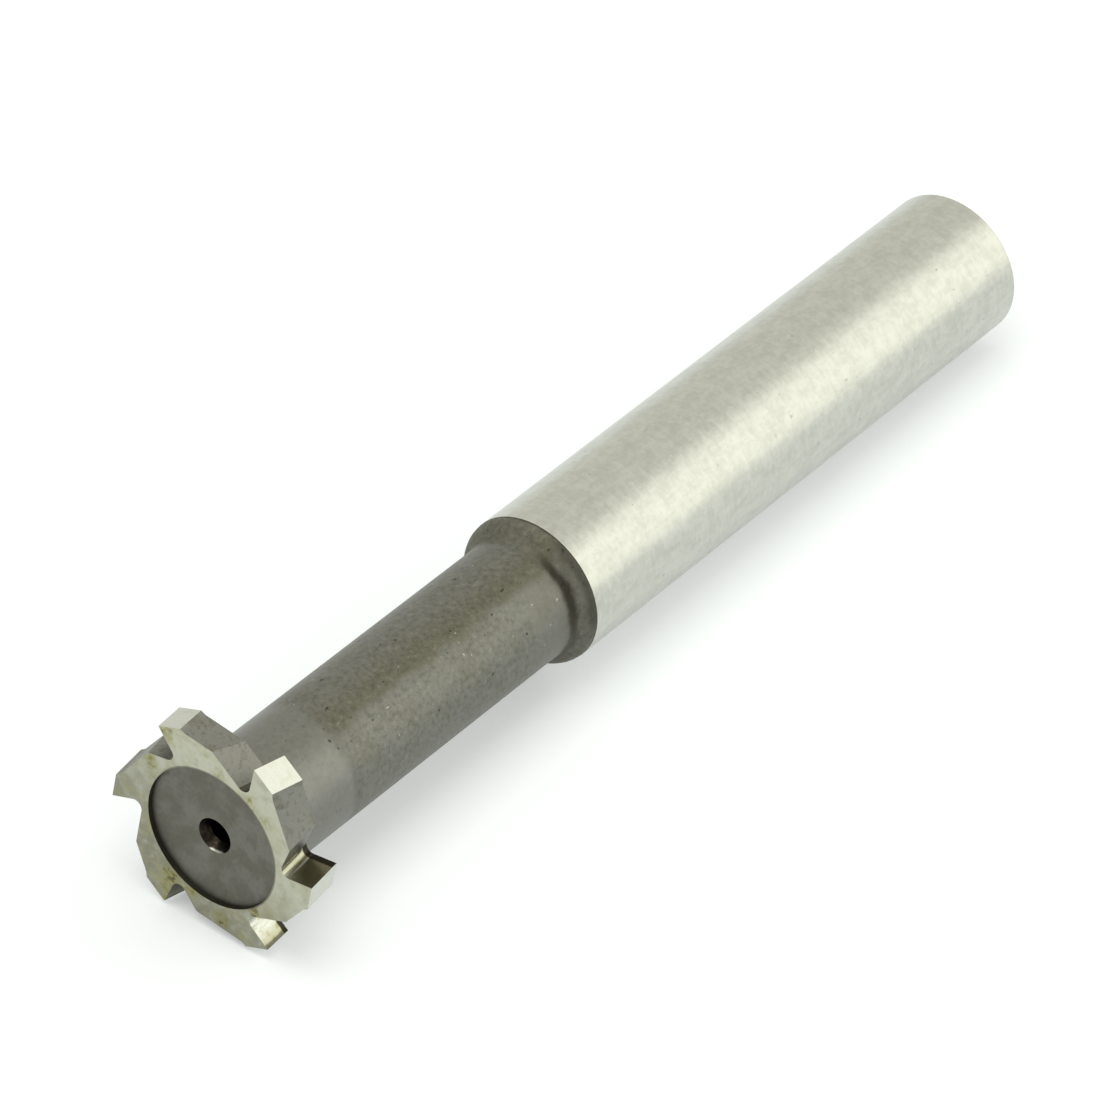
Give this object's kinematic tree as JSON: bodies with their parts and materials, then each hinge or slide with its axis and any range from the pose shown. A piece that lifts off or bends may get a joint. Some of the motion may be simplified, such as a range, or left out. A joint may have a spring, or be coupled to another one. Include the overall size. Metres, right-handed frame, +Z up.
{
  "type": "t-slot cutter",
  "caption": "Solid T-slot milling cutter: a thin disc with staggered teeth on a slim dark neck, and a ground straight shank for a collet. It lies on its side.",
  "frame": {"origin": "middle of the box's underside, on the floor the cutter lies on", "axes": "+X along the cutter from the toothed head to the shank end, +Z up from the floor"},
  "size_m": [0.1214, 0.024, 0.0222],
  "materials": {
    "tool_steel": "ground bright on shank, lands, rake faces and end face, dark and finely blasted on neck and tooth backs"
  },
  "bodies": {
    "root": {"t_slot_cutter": "tool_steel"}
  },
  "joints": []
}
